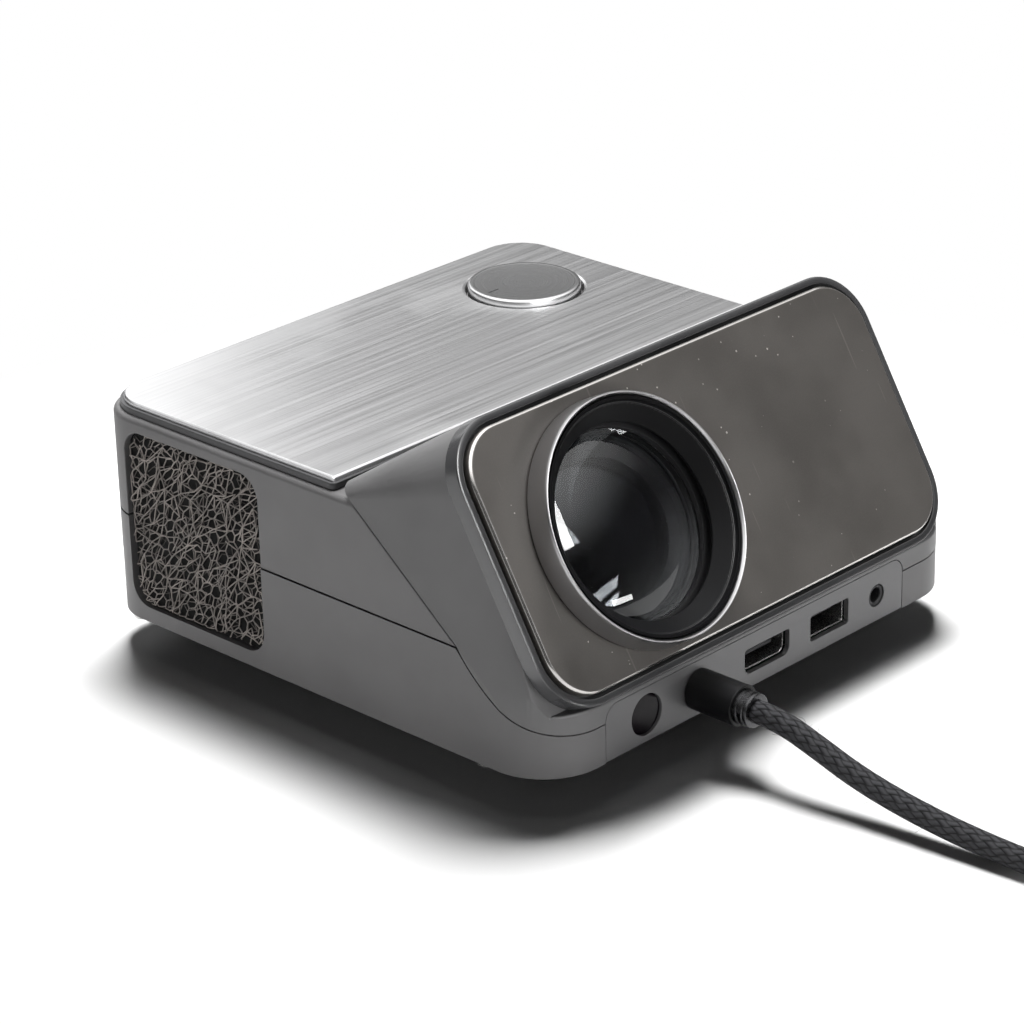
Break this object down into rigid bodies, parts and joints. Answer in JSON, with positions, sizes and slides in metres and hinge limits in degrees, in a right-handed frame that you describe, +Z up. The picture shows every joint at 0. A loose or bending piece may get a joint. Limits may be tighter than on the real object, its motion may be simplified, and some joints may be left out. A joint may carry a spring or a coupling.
{
  "type": "projector with disc drive",
  "caption": "Box-shaped tabletop projector with a leaning face plate, a lens ring, a dial on a brushed deck, a port strip, a braided lead and a slide-out disc tray",
  "frame": {"origin": "on the table, under the middle of the body and its lens ring, without the lead", "axes": "+X to the right seen from the front, +Y to the rear wall with the disc tray, +Z up"},
  "size_m": [0.15, 0.3688, 0.0849],
  "materials": {
    "pan_plastic": "dark grey satin",
    "shell_plastic": "mid grey satin",
    "rim_plastic": "mid grey satin",
    "face_metal": "warm grey, finely brushed",
    "carrier_plastic": "black satin",
    "deck_metal": "light grey, brushed across",
    "foot_rubber": "black",
    "screw_steel": "plain steel",
    "strip_metal": "grey, finely brushed",
    "socket_steel": "bright",
    "black_plastic": "black",
    "gloss_window": "dark, shiny",
    "circuit_board": "green board",
    "ring_metal": "light grey, bright rim",
    "lens_glass": "clear, coated",
    "panel_glass": "dark panel",
    "copper": "copper",
    "bare_aluminium": "bare",
    "mesh_wire": "taupe grey wire",
    "speaker_black": "black cone and magnet",
    "dial_metal": "satin with a bright edge",
    "drive_steel": "plated sheet",
    "tray_plastic": "black",
    "plug_black": "black moulding",
    "collar_steel": "bright",
    "lead_braid": "black braid"
  },
  "bodies": {
    "casing": {"base_pan": "pan_plastic", "lower_shell": "shell_plastic", "upper_shell": "shell_plastic", "front_hood": "shell_plastic", "face_rim": "rim_plastic", "face_plate": "face_metal", "deck_carrier": "carrier_plastic", "deck_plate": "deck_metal", "feet": "foot_rubber", "case_screws": "screw_steel", "port_strip": "strip_metal", "hdmi_socket": "socket_steel", "usb_socket": "socket_steel", "audio_jack": "black_plastic", "dc_socket": "black_plastic", "remote_sensor": "gloss_window", "port_board": "circuit_board", "lens_mount": "black_plastic", "picture_panel": "panel_glass", "light_tunnel": "black_plastic", "condenser_lens": "lens_glass", "led_board": "circuit_board", "heat_pipe": "copper", "fan_shroud": "black_plastic", "fan_frame": "black_plastic", "heatsink": "bare_aluminium", "left_mesh": "mesh_wire", "right_mesh": "mesh_wire", "speaker_frame": "black_plastic", "speaker": "speaker_black", "main_board": "circuit_board", "encoder_body": "screw_steel", "drive_case": "drive_steel", "drive_cover": "drive_steel", "drive_posts": "screw_steel", "dc_plug": "plug_black", "plug_collar": "collar_steel", "cord_run": "lead_braid", "cord_coil": "lead_braid", "cord_tail": "lead_braid", "far_plug": "plug_black"},
    "focus_ring_body": {"focus_ring": "ring_metal", "lens_baffle": "black_plastic"},
    "lens_cell": {"lens_barrel": "black_plastic", "front_lens": "lens_glass", "rear_lens": "lens_glass"},
    "rotor": {"fan_rotor": "black_plastic"},
    "dial_plunger_body": {"dial_plunger": "screw_steel"},
    "dial_body": {"dial": "dial_metal"},
    "rails": {"tray_rails": "drive_steel"},
    "tray": {"disc_tray": "tray_plastic", "tray_bezel": "shell_plastic", "tray_chassis": "drive_steel", "spindle_motor": "drive_steel", "pickup_rods": "screw_steel", "sled_motor": "drive_steel"},
    "eject": {"eject_button": "shell_plastic"},
    "turntable": {"spindle_hub": "tray_plastic"},
    "pickup": {"pickup_sled": "black_plastic"},
    "feed_screw": {"lead_screw": "screw_steel"}
  },
  "joints": [
    {"name": "focus_turn", "type": "hinge", "parent": "casing", "child": "focus_ring_body", "pos_m": [-0.0299, -0.05672, 0.05489], "axis": [0, -0.8607, 0.509], "range_deg": [-60, 60]},
    {"name": "lens_slide", "type": "slide", "parent": "casing", "child": "lens_cell", "axis": [0, -0.8607, 0.509], "range_m": [-0.00201, 0.00201]},
    {"name": "fan_spin", "type": "hinge", "parent": "casing", "child": "rotor", "pos_m": [-0.066, 0.04304, 0.0415], "axis": [1, 0, 0], "continuous": true},
    {"name": "dial_press", "type": "slide", "parent": "casing", "child": "dial_plunger_body", "axis": [0, 0, -1], "range_m": [0, 0.0006], "stiffness_N_per_m": 500, "springref_m": -0.0006},
    {"name": "dial_turn", "type": "hinge", "parent": "dial_plunger_body", "child": "dial_body", "pos_m": [0.0458, 0.04745, 0.066], "axis": [0, 0, 1], "continuous": true},
    {"name": "tray_slide", "type": "slide", "parent": "casing", "child": "tray", "axis": [0, 1, 0], "range_m": [0, 0.125]},
    {"name": "rail_slide", "type": "slide", "parent": "casing", "child": "rails", "axis": [0, 1, 0], "range_m": [0, 0.0625]},
    {"name": "eject_press", "type": "slide", "parent": "tray", "child": "eject", "axis": [0, -1, 0], "range_m": [0, 0.0008], "stiffness_N_per_m": 300, "springref_m": -0.0006},
    {"name": "disc_spin", "type": "hinge", "parent": "tray", "child": "turntable", "pos_m": [0, 0.01304, 0.018], "axis": [0, 0, 1], "continuous": true},
    {"name": "pickup_slide", "type": "slide", "parent": "tray", "child": "pickup", "axis": [0, -1, 0], "range_m": [0, 0.03]},
    {"name": "feed_screw_turn", "type": "hinge", "parent": "tray", "child": "feed_screw", "pos_m": [0.0195, -0.01696, 0.0138], "axis": [0, -1, 0], "range_deg": [0, 3600.5]}
  ],
  "couplings": [
    {"joint": "lens_slide", "follows": "focus_turn", "m_per_rad": 0.0019099},
    {"joint": "rail_slide", "follows": "tray_slide", "ratio": 0.5},
    {"joint": "feed_screw_turn", "follows": "pickup_slide", "rad_per_m": 2094.4}
  ]
}
